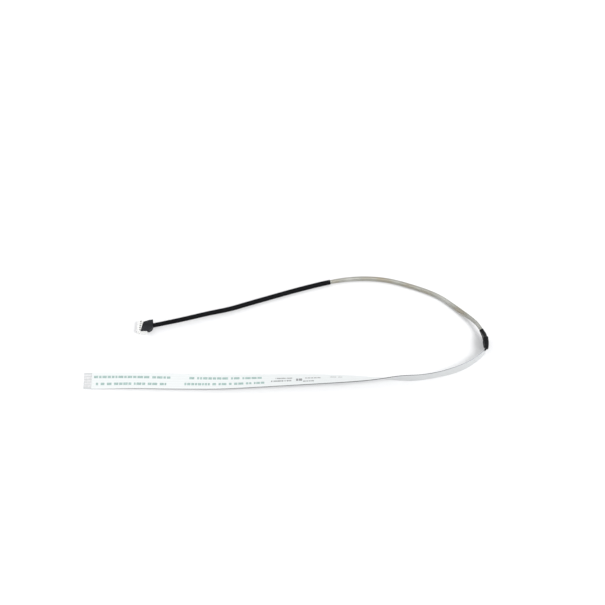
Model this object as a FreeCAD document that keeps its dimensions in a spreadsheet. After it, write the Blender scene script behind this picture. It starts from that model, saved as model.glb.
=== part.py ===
import FreeCAD, Part
import math
import os

import Sketcher
from FreeCAD import Placement, Rotation, Vector

# A webcam cable: a small crimp connector, five thin wires in a black sleeve and then in a bare
# shield braid, a taped solder joint, and a flat flexible cable that ends in bare contacts.
# It lies on a table, z = 0. The flat cable stands on edge beside the joint, bends round and
# rolls over until its printed side faces up. Millimetres and degrees throughout.

# Driving sizes: name, value, what it is
SIZES = [
    ("positions", 5, "wires, contacts and flat conductors"),
    # Connector housing and its contacts
    ("contact_pitch", 1.0, "distance between neighbouring contacts"),
    ("end_wall", 0.31, "housing wall beside the first and the last cavity"),
    ("housing_depth", 4.7, "from the mating face to the rear"),
    ("housing_height", 3.8, "from the table to the top"),
    ("rib_width", 0.3, "how far each side rib stands out"),
    ("rib_height", 0.9, "height of each side rib"),
    ("rib_bottom", 1.3, "height of the rib's lower face"),
    ("rib_setback", 0.7, "from the mating face to the start of the rib"),
    ("cavity_width", 0.78, "across one contact cavity"),
    ("cavity_height", 1.6, "height of one contact cavity"),
    ("cavity_bottom", 1.0, "height of the cavity floor"),
    ("front_wall", 0.35, "thickness of the wall that the pins enter through"),
    ("pin_window", 0.5, "width and height of one pin window in that wall"),
    ("edge_chamfer", 0.12, "chamfer along the housing's outer edges"),
    ("window_start", 0.95, "from the mating face to the lance windows"),
    ("window_length", 0.9, "length of one lance window"),
    ("window_width", 0.5, "width of one lance window"),
    ("lip_length", 0.45, "length of the lowered lip at the mating face"),
    ("lip_drop", 0.35, "how far that lip is lowered"),
    ("groove_start", 2.2, "from the mating face to the grip groove"),
    ("groove_width", 0.3, "width of the grip groove across the top"),
    ("groove_depth", 0.25, "depth of the grip groove"),
    ("sheet_thickness", 0.1, "sheet metal of the contacts"),
    ("receptacle_start", 0.5, "from the mating face to the contact's box"),
    ("receptacle_length", 1.9, "length of the box that takes the pin"),
    ("receptacle_width", 0.6, "width of that box"),
    ("receptacle_height", 1.2, "height of that box"),
    ("lance_length", 0.6, "length of the locking lance"),
    ("lance_rise", 0.5, "how far the lance stands above the box"),
    ("core_crimp_length", 0.5, "length of the core crimp"),
    ("crimp_gap", 0.4, "between the core crimp and the insulation crimp"),
    ("jacket_crimp_length", 0.6, "length of the insulation crimp"),
    ("crimp_inset", 0.5, "from the insulation crimp to the housing's rear"),
    ("crimp_play", 0.02, "gap between a crimp and what it grips"),
    # Wires, sleeve and braid
    ("wire_radius", 0.25, "outside of one insulated wire"),
    ("core_radius", 0.12, "outside of one stranded core"),
    ("ring_radius", 0.5, "from the cable's centre to each wire's centre"),
    ("bore_radius", 0.78, "inside of the sleeve and of the braid"),
    ("sleeve_radius", 1.1, "outside of the black sleeve"),
    ("braid_radius", 1.0, "outside of the shield braid"),
    ("core_tip", 0.1, "bare core that stands out in front of its crimp"),
    ("jacket_tip", 0.2, "insulation that stands out in front of its crimp"),
    ("row_lead", 0.15, "from the housing's rear to where the wires start to gather"),
    ("gather_lead", 0.75, "how far before the sleeve the wires lie gathered"),
    ("spread_lead", 1.3, "how far past the braid the wires stay gathered"),
    # Tapes
    ("tape_thickness", 0.25, "one layer of cloth tape with its glue"),
    ("tape_flap", 2.4, "length of the tape on top of the housing"),
    ("tape_reach", 2.3, "from the housing's rear to the rear edge of the tape"),
    ("tape_inset", 0.1, "from each side of the housing's block to the tape's edge"),
    ("tape_flare", 0.45, "extra half width of the tape at its rear edge"),
    ("tape_rear_low", 0.75, "height of the tape's lower face at its rear edge"),
    ("tape_rear_high", 3.55, "height of the tape's upper face at its rear edge"),
    ("tape_play", 0.03, "gap between a tape and the cable in it"),
    ("joint_wall", 0.15, "tape wound round the solder joint"),
    # Flat flexible cable
    ("conductor_pitch", 1.25, "distance between neighbouring flat conductors"),
    ("conductor_width", 0.8, "width of one flat conductor"),
    ("conductor_thickness", 0.1, "thickness of one flat conductor"),
    ("strip_margin", 1.25, "from an outer conductor's centre to the edge"),
    ("base_thickness", 0.1, "film under the conductors"),
    ("cover_thickness", 0.1, "film over the conductors"),
    ("stiffener_thickness", 0.15, "stiffening film under the contact end"),
    ("stiffener_length", 8.0, "length of the stiffening film"),
    ("contact_length", 3.4, "bare conductor at the contact end"),
    ("tail_length", 1.8, "bare conductor at the solder joint"),
    ("edge_height", 0.45, "height of the strip's lower edge where it stands up"),
    ("solder_length", 1.3, "length of one solder joint"),
    ("solder_height", 0.36, "height of one solder joint over its conductor"),
    ("core_overlap", 1.5, "core lying on its flat conductor"),
    ("jacket_gap", 0.15, "from the strip's end to the wire's insulation"),
    ("fan_run", 1.2, "straight run of each wire before the strip"),
]

# Where the connector and the strip lie on the table
PLACES = [
    ("connector_x", -66.65, "centre of the mating face"),
    ("connector_y", 12.9, "centre of the mating face"),
    ("connector_turn", -4.0, "turn of the connector about the vertical"),
    ("strip_end", -89.4, "x of the contact end"),
]

# The round cable from the connector to the solder joint: its route, chosen along the real one
CABLE = [
    (-59.8, 13.15, 2.15),
    (-54.8, 14.45, 2.7),
    (-46.0, 16.6, 2.95),
    (-30.0, 20.4, 2.2),
    (-10.0, 26.85, 1.25),
    (11.0, 33.0, 1.1),
    (27.5, 36.4, 1.1),
    (43.5, 36.3, 1.1),
    (57.5, 32.1, 1.1),
    (68.6, 27.5, 1.35),
    (76.4, 20.9, 2.6),
    (82.2, 15.75, 3.75),
    (84.9, 12.94, 4.15),
    (86.1, 10.45, 4.2),
]
# The black sleeve follows this many points of the route and half a run more
SLEEVE_POINT_COUNT = 6

# The flat cable where it stands on edge, seen from above, from the joint to its straight part
STRIP = [
    (87.9, 5.4),
    (88.25, 2.2),
    (87.25, 0.1),
    (84.0, -2.9),
    (80.4, -5.4),
    (75.0, -8.0),
    (67.3, -10.3),
    (57.8, -12.0),
    (50.5, -12.0),
]
# The straight part rolls over on its lower edge: x, and the angle between strip and table
ROLL = [
    (50.5, 90.0),
    (45.5, 78.0),
    (40.0, 66.5),
    (31.0, 53.0),
    (19.0, 42.5),
    (3.0, 32.5),
    (-14.0, 24.0),
    (-31.0, 14.0),
    (-52.0, 6.0),
    (-75.0, 0.0),
]

# The tape round the solder joint: centre, heading, half width and half height of each section
JOINT_TAPE = [
    (85.85, 11.0, -64.1, 1.18, 1.18),
    (86.3, 10.05, -64.1, 1.18, 1.3),
    (87.05, 8.3, -72.0, 1.0, 2.0),
    (87.62, 6.25, -79.0, 0.85, 3.4),
    (87.66, 6.0, -79.0, 1.05, 3.65),
    (87.86, 4.5, -83.8, 1.05, 4.2),
    (88.0, 2.9, -90.0, 0.95, 4.2),
    (87.8, 1.65, -108.0, 0.85, 4.2),
]

# The rolled part has a section at each turn of this many degrees
STATION_TURN = 4.0

ARC_SHARE = 0.45
WIRE_SIDES = 5
CABLE_SIDES = 10
BORE_SIDES = 6
TAPE_SIDES = 12
UP = Vector(0, 0, 1)
# Angle of each wire in the cable, in the order of the connector's contacts, and the flat
# conductor that it is soldered to, counted from the strip's lower edge
WIRE_ANGLES = [162.0, 234.0, 90.0, 306.0, 18.0]
WIRE_CONDUCTORS = [2, 0, 4, 1, 3]


def make_sheet(doc):
    sheet = doc.addObject("Spreadsheet::Sheet", "Sizes")
    for row, (alias, value, note) in enumerate(SIZES + PLACES, 1):
        sheet.set(f"A{row}", note)
        sheet.set(f"B{row}", str(value))
        sheet.setAlias(f"B{row}", alias)
    doc.recompute()
    return sheet


# Routes

def route_edges(points, setback=0.0):
    """Straight runs joined by tangent arcs, each as large as its two runs allow."""
    edges, radii = [], []
    here = points[0] + heading(points, 0) * setback
    for before, corner, after in zip(points, points[1:], points[2:]):
        arrive = (corner - before).normalize()
        leave = (after - corner).normalize()
        half_turn = arrive.getAngle(leave) / 2
        reach = ARC_SHARE * min((corner - before).Length, (after - corner).Length)
        radius = reach / math.tan(half_turn)
        inward = (leave - arrive).normalize()
        middle = corner + inward * (radius / math.cos(half_turn) - radius)
        start = corner - arrive * reach
        end = corner + leave * reach
        edges.append(Part.LineSegment(here, start).toShape())
        edges.append(Part.Arc(start, middle, end).toShape())
        radii.append(radius)
        here = end
    edges.append(Part.LineSegment(here, points[-1]).toShape())
    return edges, radii


def report_route(name, points):
    edges, radii = route_edges(points)
    length = sum(edge.Length for edge in edges)
    print(f"{name}: {length:.1f} mm, radii " + ", ".join(f"{radius:.1f}" for radius in radii))


def heading(points, index):
    return (points[index + 1] - points[index]).normalize()


def ring_route(points, angle, radius):
    """The corners of a wire that keeps its place in the ring round the cable's centre."""
    along = heading(points, 0)
    side = UP.cross(along).normalize()
    out = side * math.cos(math.radians(angle)) + along.cross(side) * math.sin(math.radians(angle))
    out = out * radius
    corners = [points[0] + out]
    for index in range(1, len(points) - 1):
        onward = heading(points, index)
        lag = out.dot(onward) / (1 + along.dot(onward))
        corners.append(points[index] + out - along * lag)
        out = Rotation(along, onward).multVec(out)
        along = onward
    corners.append(points[-1] + out)
    return corners


# Solids

def polygon_face(centre, axis, radius, sides):
    """A regular face across the axis, with its corners at the radius."""
    axis = Vector(axis).normalize()
    side = UP.cross(axis).normalize()
    up = axis.cross(side)
    corners = []
    for index in range(sides):
        turn = 2 * math.pi * (index + 0.5) / sides
        corners.append(centre + side * radius * math.cos(turn) + up * radius * math.sin(turn))
    return Part.Face(Part.makePolygon(corners + corners[:1]))


def swept(points, face, setback=0.0):
    return Part.Wire(route_edges(points, setback)[0]).makePipe(face)


def checked_solid(shape):
    """The one solid that a boolean has left."""
    shape = shape.removeSplitter()
    if len(shape.Solids) != 1:
        raise ValueError(f"{len(shape.Solids)} solids instead of one")
    return shape.Solids[0]


def add_part(doc, name, shape):
    part = doc.addObject("Part::Feature", name)
    part.Label = name
    part.Shape = shape
    return part


# Sketches for the connector

def make_body(doc, name):
    """A body in the connector's own frame: x from the mating face back, y across, z up."""
    body = doc.addObject("PartDesign::Body", name)
    body.Label = name
    body.setExpression("Placement.Base.x", "Sizes.connector_x")
    body.setExpression("Placement.Base.y", "Sizes.connector_y")
    body.setExpression("Placement.Rotation.Angle", "Sizes.connector_turn")
    return body


def make_sketch(body, name, plane, height="0"):
    sketch = body.newObject("Sketcher::SketchObject", name)
    origin_plane = next(o for o in body.Origin.OriginFeatures if o.Role == plane)
    sketch.AttachmentSupport = [(origin_plane, "")]
    sketch.MapMode = "FlatFace"
    sketch.setExpression("AttachmentOffset.Base.z", height)
    return sketch


def add_rectangle(sketch, left, bottom, width, height):
    """A rectangle whose corner and sides are expressions on the sheet."""
    first = sketch.GeometryCount
    corners = [Vector(0, 0), Vector(1, 0), Vector(1, 1), Vector(0, 1)]
    for start, end in zip(corners, corners[1:] + corners[:1]):
        sketch.addGeometry(Part.LineSegment(start, end))
    for side in range(4):
        following = first + (side + 1) % 4
        sketch.addConstraint(Sketcher.Constraint("Coincident", first + side, 2, following, 1))
        direction = "Vertical" if side % 2 else "Horizontal"
        sketch.addConstraint(Sketcher.Constraint(direction, first + side))
    lengths = [
        ("DistanceX", (-1, 1, first, 1), left),
        ("DistanceY", (-1, 1, first, 1), bottom),
        ("DistanceX", (first, 1, first, 2), width),
        ("DistanceY", (first + 1, 1, first + 1, 2), height),
    ]
    for kind, points, expression in lengths:
        index = sketch.addConstraint(Sketcher.Constraint(kind, *points, 1.0))
        sketch.setExpression(f"Constraints[{index}]", expression)


def add_pad(body, sketch, name, length):
    pad = body.newObject("PartDesign::Pad", name)
    pad.Profile = sketch
    pad.setExpression("Length", length)
    return pad


def add_pocket(body, sketch, name, length, reverse=False):
    pocket = body.newObject("PartDesign::Pocket", name)
    pocket.Profile = sketch
    pocket.setExpression("Length", length)
    pocket.Reversed = reverse
    return pocket


def add_row(body, feature, sketch, name, axis):
    """Repeats a feature once for each position of the connector."""
    row = body.newObject("PartDesign::LinearPattern", name)
    row.Originals = [feature]
    row.Direction = (sketch, [axis])
    row.setExpression("Length", "Sizes.contact_pitch * (Sizes.positions - 1)")
    row.setExpression("Occurrences", "Sizes.positions")
    body.Tip = row
    return row


# Connector

def raised_edges(block):
    """The names of a block's edges that don't lie on the table."""
    names = []
    for index, edge in enumerate(block.Edges, 1):
        if max(vertex.Point.z for vertex in edge.Vertexes) > 1e-6:
            names.append(f"Edge{index}")
    return names


def block_width(sizes):
    """Across the housing without its side ribs."""
    row = sizes.contact_pitch * (sizes.positions - 1) + sizes.cavity_width
    return row + 2 * sizes.end_wall


def crimp_starts(sizes):
    """Where the core crimp and the insulation crimp start, from the mating face."""
    jacket = sizes.housing_depth - sizes.crimp_inset - sizes.jacket_crimp_length
    return jacket - sizes.crimp_gap - sizes.core_crimp_length, jacket


def make_housing(doc):
    body = make_body(doc, "connector_housing")
    narrow = "(Sizes.contact_pitch * (Sizes.positions - 1) + Sizes.cavity_width + 2 * Sizes.end_wall)"
    full_width = f"({narrow} + 2 * Sizes.rib_width)"
    first_position = "-Sizes.contact_pitch * (Sizes.positions - 1) / 2"

    block = make_sketch(body, "housing_block_sketch", "XY_Plane")
    add_rectangle(block, "0", f"-{narrow} / 2", "Sizes.housing_depth", narrow)
    pad = add_pad(body, block, "housing_block", "Sizes.housing_height")
    doc.recompute()
    chamfer = body.newObject("PartDesign::Chamfer", "housing_chamfer")
    chamfer.Base = (pad, raised_edges(pad.Shape))
    chamfer.setExpression("Size", "Sizes.edge_chamfer")

    ribs = make_sketch(body, "housing_ribs_sketch", "XY_Plane", "Sizes.rib_bottom")
    rib_length = "Sizes.housing_depth - Sizes.rib_setback"
    add_rectangle(ribs, "Sizes.rib_setback", f"-{full_width} / 2", rib_length, full_width)
    add_pad(body, ribs, "housing_ribs", "Sizes.rib_height")

    cavity = make_sketch(body, "cavity_sketch", "YZ_Plane", "Sizes.front_wall")
    add_rectangle(cavity, f"{first_position} - Sizes.cavity_width / 2", "Sizes.cavity_bottom",
                  "Sizes.cavity_width", "Sizes.cavity_height")
    pocket = add_pocket(body, cavity, "cavity", "Sizes.housing_depth - Sizes.front_wall", True)
    add_row(body, pocket, cavity, "cavity_row", "H_Axis")

    pin = make_sketch(body, "pin_window_sketch", "YZ_Plane")
    pin_bottom = "Sizes.cavity_bottom + (Sizes.receptacle_height - Sizes.pin_window) / 2"
    add_rectangle(pin, f"{first_position} - Sizes.pin_window / 2", pin_bottom,
                  "Sizes.pin_window", "Sizes.pin_window")
    pocket = add_pocket(body, pin, "pin_window", "Sizes.front_wall", True)
    add_row(body, pocket, pin, "pin_window_row", "H_Axis")

    window = make_sketch(body, "window_sketch", "XY_Plane", "Sizes.housing_height")
    add_rectangle(window, "Sizes.window_start", f"{first_position} - Sizes.window_width / 2",
                  "Sizes.window_length", "Sizes.window_width")
    roof = "Sizes.housing_height - Sizes.cavity_bottom - Sizes.cavity_height / 2"
    pocket = add_pocket(body, window, "window", roof)
    add_row(body, pocket, window, "window_row", "V_Axis")

    lip = make_sketch(body, "lip_sketch", "XY_Plane", "Sizes.housing_height")
    add_rectangle(lip, "0", f"-{full_width} / 2", "Sizes.lip_length", full_width)
    add_pocket(body, lip, "lip", "Sizes.lip_drop")

    groove = make_sketch(body, "groove_sketch", "XY_Plane", "Sizes.housing_height")
    add_rectangle(groove, "Sizes.groove_start", f"-{full_width} / 2", "Sizes.groove_width", full_width)
    add_pocket(body, groove, "groove", "Sizes.groove_depth")
    return body


def wire_height_expression():
    return "(Sizes.cavity_bottom + Sizes.sheet_thickness + Sizes.crimp_play + Sizes.wire_radius)"


def add_crimp(body, name, across, radius, start, length):
    """A square band on the contact's floor round a core or round an insulated wire."""
    wall = "Sizes.sheet_thickness"
    centre = wire_height_expression()
    inside = f"({radius} + Sizes.crimp_play)"
    outside = f"({inside} + {wall})"
    sketch = make_sketch(body, f"{name}_sketch", "YZ_Plane", start)
    add_rectangle(sketch, f"{across} - {outside}", "Sizes.cavity_bottom", f"2 * {outside}",
                  f"{centre} + {outside} - Sizes.cavity_bottom")
    add_rectangle(sketch, f"{across} - {inside}", f"{centre} - {inside}",
                  f"2 * {inside}", f"2 * {inside}")
    add_pad(body, sketch, name, length)


def make_contact(doc, number):
    """A stamped receptacle contact with its core crimp and its insulation crimp."""
    name = f"connector_contact_{number + 1}"
    body = make_body(doc, name)
    across = f"Sizes.contact_pitch * ({number} - (Sizes.positions - 1) / 2)"
    half = "Sizes.receptacle_width / 2"
    wall = "Sizes.sheet_thickness"

    box = make_sketch(body, f"{name}_box_sketch", "YZ_Plane", "Sizes.receptacle_start")
    add_rectangle(box, f"{across} - {half}", "Sizes.cavity_bottom", "Sizes.receptacle_width",
                  "Sizes.receptacle_height")
    add_rectangle(box, f"{across} - {half} + {wall}", f"Sizes.cavity_bottom + {wall}",
                  f"Sizes.receptacle_width - 2 * {wall}", f"Sizes.receptacle_height - 2 * {wall}")
    add_pad(body, box, f"{name}_box", "Sizes.receptacle_length")

    lance = make_sketch(body, f"{name}_lance_sketch", "XY_Plane",
                        f"Sizes.cavity_bottom + Sizes.receptacle_height - {wall}")
    lance_start = "Sizes.window_start + (Sizes.window_length - Sizes.lance_length) / 2"
    add_rectangle(lance, lance_start, f"{across} - {wall}", "Sizes.lance_length", f"2 * {wall}")
    add_pad(body, lance, f"{name}_lance", f"Sizes.lance_rise + {wall}")

    floor = make_sketch(body, f"{name}_floor_sketch", "XY_Plane", "Sizes.cavity_bottom")
    floor_start = f"(Sizes.receptacle_start + Sizes.receptacle_length - {wall})"
    floor_end = "(Sizes.housing_depth - Sizes.crimp_inset)"
    add_rectangle(floor, floor_start, f"{across} - Sizes.core_radius - {wall}",
                  f"{floor_end} - {floor_start}", f"2 * (Sizes.core_radius + {wall})")
    add_pad(body, floor, f"{name}_floor", wall)

    jacket_crimp = f"({floor_end} - Sizes.jacket_crimp_length)"
    core_crimp = f"({jacket_crimp} - Sizes.crimp_gap - Sizes.core_crimp_length)"
    add_crimp(body, f"{name}_core_crimp", across, "Sizes.core_radius", core_crimp,
              "Sizes.core_crimp_length")
    add_crimp(body, f"{name}_jacket_crimp", across, "Sizes.wire_radius", jacket_crimp,
              "Sizes.jacket_crimp_length")
    return body


def connector_placement(sizes):
    turn = Rotation(UP, sizes.connector_turn)
    return Placement(Vector(sizes.connector_x, sizes.connector_y, 0), turn)


def wire_height(sizes):
    return sizes.cavity_bottom + sizes.sheet_thickness + sizes.crimp_play + sizes.wire_radius


def make_connector_tape(doc, sizes, cable):
    """Cloth tape stuck to the top of the housing and closed round the gathered wires behind it."""
    wall = sizes.tape_thickness
    half = block_width(sizes) / 2 - sizes.tape_inset
    rear_half = half + sizes.tape_flare
    rear = sizes.housing_depth + sizes.tape_reach
    top = sizes.housing_height
    low = sizes.cavity_bottom - sizes.sheet_thickness - wall

    def section(along, half_width, bottom, ceiling):
        corners = [
            Vector(along, -half_width, bottom),
            Vector(along, half_width, bottom),
            Vector(along, half_width, ceiling),
            Vector(along, -half_width, ceiling),
        ]
        return Part.makePolygon(corners + corners[:1])

    outside = Part.makeLoft([
        section(sizes.housing_depth, half, low, top + wall),
        section(rear, rear_half, sizes.tape_rear_low, sizes.tape_rear_high),
    ], True, True)
    inside = Part.makeLoft([
        section(sizes.housing_depth, half - wall, low + wall, top),
        section(rear - wall, rear_half - wall, sizes.tape_rear_low + wall,
                sizes.tape_rear_high - wall),
    ], True, True)
    flap_start = Vector(sizes.housing_depth - sizes.tape_flap, -half, top)
    flap = Part.makeBox(sizes.tape_flap, 2 * half, wall, flap_start)
    tape = outside.cut(inside).fuse(flap)
    tape.Placement = connector_placement(sizes)

    along = heading(cable, 0)
    exit_radius = sizes.sleeve_radius + sizes.tape_play
    exit_start = cable[0] - along * sizes.gather_lead
    exit_hole = Part.makeCylinder(exit_radius, 4 * sizes.gather_lead, exit_start, along)
    return add_part(doc, "connector_tape", checked_solid(tape.cut(exit_hole)))


# Round cable

def make_sleeve_and_braid(doc, sizes, cable):
    """Both tubes follow one route and meet halfway along one of its straight runs."""
    edges, _ = route_edges(cable)
    last = SLEEVE_POINT_COUNT - 1
    shared = edges.pop(2 * last)
    run_start, run_end = (vertex.Point for vertex in shared.Vertexes)
    middle = (cable[last] + cable[last + 1]) * 0.5
    before = Part.LineSegment(run_start, middle).toShape()
    after = Part.LineSegment(middle, run_end).toShape()
    pieces = [
        ("black_sleeve", edges[:2 * last] + [before], cable[0], heading(cable, 0),
         sizes.sleeve_radius),
        ("shield_braid", [after] + edges[2 * last:], middle, heading(cable, last),
         sizes.braid_radius),
    ]
    bore_corner = sizes.bore_radius / math.cos(math.pi / BORE_SIDES)
    for name, path, start, along, radius in pieces:
        outside = polygon_face(start, along, radius, CABLE_SIDES)
        bore = polygon_face(start, along, bore_corner, BORE_SIDES)
        spine = Part.Wire(path)
        solid = spine.makePipe(outside).cut(spine.makePipe(bore)).Solids[0]
        expected = (outside.Area - bore.Area) * spine.Length
        print(f"{name}: {spine.Length:.1f} mm, volume over section times length "
              f"{solid.Volume / expected:.4f}")
        add_part(doc, name, solid)
    report_route("round cable", cable)


def make_wire(doc, sizes, number, cable, joint_start, joint_along):
    """One insulated wire, from its crimp to its flat conductor, with a bare core at each end."""
    place = connector_placement(sizes)
    across = sizes.contact_pitch * (number - (sizes.positions - 1) / 2)
    height = wire_height(sizes)
    back = place.Rotation.multVec(Vector(1, 0, 0))
    core_crimp, jacket_crimp = crimp_starts(sizes)
    jacket_start = jacket_crimp - sizes.jacket_tip
    row_exit = sizes.housing_depth + sizes.row_lead
    row = [place.multVec(Vector(x, across, height)) for x in (jacket_start, row_exit)]

    gathered = list(cable)
    gathered[0] = cable[0] - heading(cable, 0) * sizes.gather_lead
    gathered[-1] = cable[-1] + heading(cable, len(cable) - 2) * sizes.spread_lead
    ring = ring_route(gathered, WIRE_ANGLES[number], sizes.ring_radius)

    over_conductor = sizes.conductor_thickness + core_half(sizes)
    rise = sizes.conductor_pitch * (WIRE_CONDUCTORS[number] - (sizes.positions - 1) / 2)
    landing = joint_start + joint_along.cross(UP) * over_conductor + UP * rise
    fan = [landing - joint_along * (sizes.jacket_gap + sizes.fan_run),
           landing - joint_along * sizes.jacket_gap]

    points = row + ring + fan
    jacket = swept(points, polygon_face(points[0], back, sizes.wire_radius, WIRE_SIDES))
    front_core = polygon_face(points[0], back, sizes.core_radius, WIRE_SIDES)
    front_core = front_core.extrude(back * (core_crimp - sizes.core_tip - jacket_start))
    end_core = polygon_face(points[-1], joint_along, sizes.core_radius, WIRE_SIDES)
    end_core = end_core.extrude(joint_along * (sizes.jacket_gap + sizes.core_overlap))
    name = f"wire_{number + 1}"
    report_route(name, points)
    return add_part(doc, name, checked_solid(jacket.fuse([front_core, end_core])))


# Flat cable

def strip_width(sizes):
    return sizes.conductor_pitch * (sizes.positions - 1) + 2 * sizes.strip_margin


def bar_profile(low, high, bottom, top):
    return [(low, bottom), (high, bottom), (high, top), (low, top)]


def split_profile(profile, places):
    """The same outline with a corner wherever it crosses one of the places across the strip."""
    corners = []
    for (a, t), (b, u) in zip(profile, profile[1:] + profile[:1]):
        corners.append((a, t))
        between = [place for place in places if min(a, b) + 0.01 < place < max(a, b) - 0.01]
        corners += [(place, t) for place in sorted(between, reverse=b < a)]
    return corners


def roll_stations(end):
    """x and angle of each section of the rolled part."""
    stations = [ROLL[0]]
    for (x, angle), (next_x, next_angle) in zip(ROLL, ROLL[1:]):
        count = math.ceil((angle - next_angle) / STATION_TURN)
        for step in range(1, count + 1):
            share = step / count
            stations.append((x + (next_x - x) * share, angle + (next_angle - angle) * share))
    return stations + [(end, 0.0)]


def core_half(sizes):
    """From a bare core's centre to its flat sides."""
    return sizes.core_radius * math.cos(math.pi / WIRE_SIDES)


def conductor_span(sizes, number):
    centre = sizes.conductor_pitch * (number - (sizes.positions - 1) / 2)
    return centre - sizes.conductor_width / 2, centre + sizes.conductor_width / 2


def cover_profile(sizes):
    """The cover film lies on the conductors and is bonded to the base film along both margins."""
    half = strip_width(sizes) / 2
    arch = sizes.conductor_thickness
    top = arch + sizes.cover_thickness
    low, _ = conductor_span(sizes, 0)
    _, high = conductor_span(sizes, sizes.positions - 1)
    return [(-half, 0.0), (low, 0.0), (low, arch), (high, arch), (high, 0.0), (half, 0.0),
            (half, top), (-half, top)]


def section_wire(profile, origin, across, through):
    corners = [origin + across * a + through * t for a, t in profile]
    return Part.makePolygon(corners + corners[:1])


def roll_wire(sizes, profile, x, angle):
    """A section of the straight part, turned about its lower edge."""
    lean = math.radians(angle)
    across = Vector(0, -math.cos(lean), math.sin(lean))
    through = Vector(0, math.sin(lean), math.cos(lean))
    upright = angle / 90.0
    edge = upright * sizes.edge_height + (1 - upright) * sizes.stiffener_thickness
    centre = edge + strip_width(sizes) / 2 * math.sin(lean) + sizes.base_thickness * math.cos(lean)
    return section_wire(profile, Vector(x, STRIP[-1][1], centre), across, through)


def strip_route(sizes):
    height = sizes.edge_height + strip_width(sizes) / 2
    return [Vector(x, y, height) for x, y in STRIP]


def joint_frame(sizes):
    """Where the flat cable starts in the joint, and which way it leaves."""
    route = strip_route(sizes)
    return route[0], heading(route, 0)


def make_strip_layer(doc, sizes, name, profile, start_setback, end_setback):
    """One layer of the flat cable, from the joint to the contact end."""
    start, along = joint_frame(sizes)
    face = Part.Face(section_wire(profile, start + along * start_setback, UP, along.cross(UP)))
    upright = swept(strip_route(sizes), face, start_setback)
    edges = [edge for number in range(int(sizes.positions)) for edge in conductor_span(sizes, number)]
    split = split_profile(profile, edges)
    stations = roll_stations(sizes.strip_end + end_setback)
    rolled = Part.makeLoft([roll_wire(sizes, split, x, angle) for x, angle in stations], True, True)
    return add_part(doc, name, checked_solid(upright.fuse(rolled)))


def make_strip(doc, sizes):
    half = strip_width(sizes) / 2
    base = bar_profile(-half, half, -sizes.base_thickness, 0.0)
    make_strip_layer(doc, sizes, "ffc_base_film", base, 0.0, 0.0)
    make_strip_layer(doc, sizes, "ffc_cover_film", cover_profile(sizes), sizes.tail_length,
                     sizes.contact_length)
    for number in range(int(sizes.positions)):
        low, high = conductor_span(sizes, number)
        bar = bar_profile(low, high, 0.0, sizes.conductor_thickness)
        make_strip_layer(doc, sizes, f"ffc_conductor_{number + 1}", bar, 0.0, 0.0)
    report_route("flat cable on edge", strip_route(sizes))
    print(f"flat cable rolled: {STRIP[-1][0] - sizes.strip_end:.1f} mm")


def make_stiffener(doc):
    box = doc.addObject("Part::Box", "ffc_stiffener")
    box.Label = "ffc_stiffener"
    width = "(Sizes.conductor_pitch * (Sizes.positions - 1) + 2 * Sizes.strip_margin)"
    box.setExpression("Length", "Sizes.stiffener_length")
    box.setExpression("Width", width)
    box.setExpression("Height", "Sizes.stiffener_thickness")
    box.setExpression("Placement.Base.x", "Sizes.strip_end")
    box.setExpression("Placement.Base.y", f"{STRIP[-1][1]} - {width} / 2")
    return box


# Solder joint

def make_solder(doc, sizes, number, joint_start, joint_along):
    """A bead of solder over a core that lies on its flat conductor."""
    through = joint_along.cross(UP)
    rise = sizes.conductor_pitch * (number - (sizes.positions - 1) / 2)
    foot = joint_start + through * sizes.conductor_thickness + UP * rise
    foot = foot + joint_along * (sizes.core_overlap / 2)

    def level(height, share):
        corners = []
        for index in range(8):
            turn = math.pi / 4 * (index + 0.5)
            along = joint_along * (sizes.solder_length / 2 * share * math.cos(turn))
            across = UP * (sizes.conductor_width / 2 * share * math.sin(turn))
            corners.append(foot + through * height + along + across)
        return Part.makePolygon(corners + corners[:1])

    levels = [level(0, 1.0), level(sizes.solder_height * 0.7, 0.85), level(sizes.solder_height, 0.5)]
    bead = Part.makeLoft(levels, True, True)
    core = polygon_face(foot + through * core_half(sizes) - joint_along * sizes.core_overlap,
                        joint_along, sizes.core_radius, WIRE_SIDES)
    core = core.extrude(joint_along * 2 * sizes.core_overlap)
    return add_part(doc, f"solder_joint_{number + 1}", checked_solid(bead.cut(core)))


def tape_section(sizes, section, shrink, shift=0.0):
    """An oval across the joint, with flat sides at its half width and its half height."""
    x, y, turn, half_width, half_height = section
    along = Rotation(UP, turn).multVec(Vector(1, 0, 0))
    side = UP.cross(along)
    start, _ = joint_frame(sizes)
    centre = Vector(x, y, start.z) + along * shift
    grow = 1 / math.cos(math.pi / TAPE_SIDES)
    corners = []
    for index in range(TAPE_SIDES):
        turn = 2 * math.pi * (index + 0.5) / TAPE_SIDES
        sideways = side * ((half_width - shrink) * grow * math.cos(turn))
        upward = UP * ((half_height - shrink) * grow * math.sin(turn))
        corners.append(centre + sideways + upward)
    return corners


def closed_face(corners):
    return Part.Face(Part.makePolygon(corners + corners[:1]))


def faceted_solid(sections):
    """A solid with flat triangles between its sections, as creased tape has."""
    faces = [closed_face(sections[0]), closed_face(sections[-1])]
    for near, far in zip(sections, sections[1:]):
        for index in range(len(near)):
            following = (index + 1) % len(near)
            faces.append(closed_face([near[index], near[following], far[following]]))
            faces.append(closed_face([near[index], far[following], far[index]]))
    shell = Part.Shell(faces)
    shell.sewShape()
    solid = Part.Solid(shell)
    if solid.Volume < 0:
        solid.reverse()
    return solid


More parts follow.
